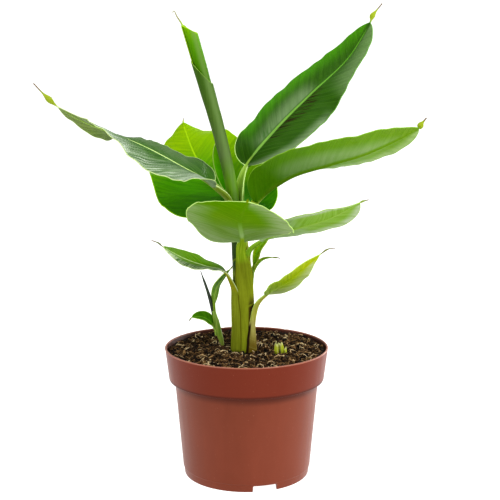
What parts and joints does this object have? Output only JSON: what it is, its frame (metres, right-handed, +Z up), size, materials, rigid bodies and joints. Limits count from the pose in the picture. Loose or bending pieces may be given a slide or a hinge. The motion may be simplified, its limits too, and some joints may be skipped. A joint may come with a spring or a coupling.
{
  "type": "potted banana plant",
  "caption": "Young banana plant with broad arching leaves, a rolled young leaf and side shoots, growing in a round tapered plastic nursery pot.",
  "frame": {"origin": "centre of the pot's flat underside", "axes": "+Z up; -Y is the front, where the broad front leaf points; +X is the viewer's right"},
  "size_m": [0.2682, 0.2624, 0.3438],
  "materials": {
    "pot": "satin terracotta-coloured moulded plastic",
    "soil": "dark moist peat compost with fibres",
    "stem": "smooth yellow-green leaf sheaths",
    "leaf": "glossy ribbed leaf with pale midrib and margin",
    "shoot": "smooth young leaf"
  },
  "bodies": {
    "root": {"pot": "pot", "soil": "soil", "pseudostem": "stem", "leaf_lower_right": "leaf", "leaf_lower_left": "leaf", "leaf_front": "leaf", "leaf_mid_right": "leaf", "leaf_left": "leaf", "leaf_right": "leaf", "leaf_back": "leaf", "leaf_upper_right": "leaf", "spear_leaf": "leaf", "spear_flap": "leaf", "shoot_left": "shoot", "shoot_left_spear": "shoot", "shoot_left_leaf_low": "shoot", "shoot_left_leaf_high": "shoot", "shoot_right": "shoot", "shoot_right_leaf_low": "shoot", "shoot_right_leaf_high": "shoot", "cut_shoot": "shoot"}
  },
  "joints": []
}
